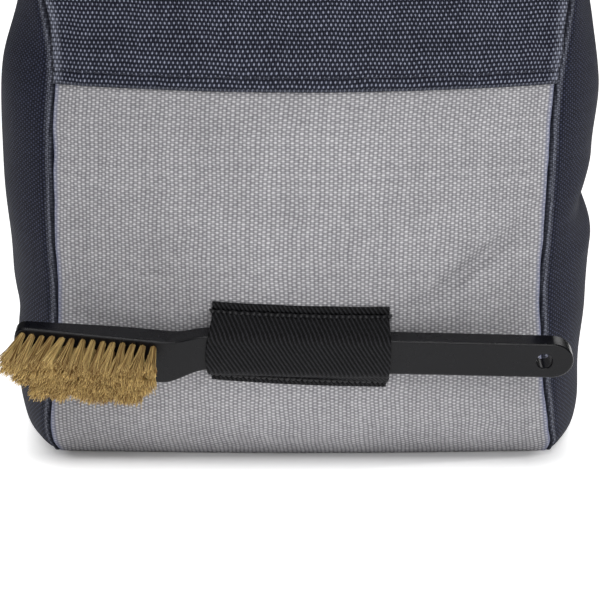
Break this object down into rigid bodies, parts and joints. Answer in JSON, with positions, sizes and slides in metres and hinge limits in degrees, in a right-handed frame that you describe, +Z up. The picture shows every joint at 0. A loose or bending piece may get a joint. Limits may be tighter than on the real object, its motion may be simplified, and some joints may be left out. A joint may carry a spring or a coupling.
{
  "type": "climbing chalk bag with a brush in its sleeve",
  "caption": "Boxy free-standing chalk bag with swelling fabric walls, an open mouth and a brush that slides in an elastic sleeve on its front.",
  "frame": {"origin": "middle of the base's flat underside, between its front and back edges", "axes": "+Z up out of the mouth, -Y out of the front that carries the brush, +X to the right seen from the front"},
  "size_m": [0.2159, 0.1672, 0.222],
  "materials": {
    "grey_fabric": "coarse plain weave",
    "navy_fabric": "coarse plain weave",
    "black_elastic": "ribbed twill elastic",
    "black_plastic": "satin moulded plastic",
    "tan_bristle": "natural hair bristle"
  },
  "bodies": {
    "bag": {"base_panel": "grey_fabric", "lower_front_panel": "grey_fabric", "upper_front_panel": "navy_fabric", "left_side_panel": "navy_fabric", "right_side_panel": "navy_fabric", "back_panel": "navy_fabric", "brush_sleeve": "black_elastic"},
    "brush": {"brush_handle": "black_plastic", "brush_bristles": "tan_bristle"}
  },
  "joints": [
    {"name": "brush_slide", "type": "slide", "parent": "bag", "child": "brush", "axis": [-0.9997, -0.0059, 0.0255], "range_m": [0, 0.11]}
  ]
}
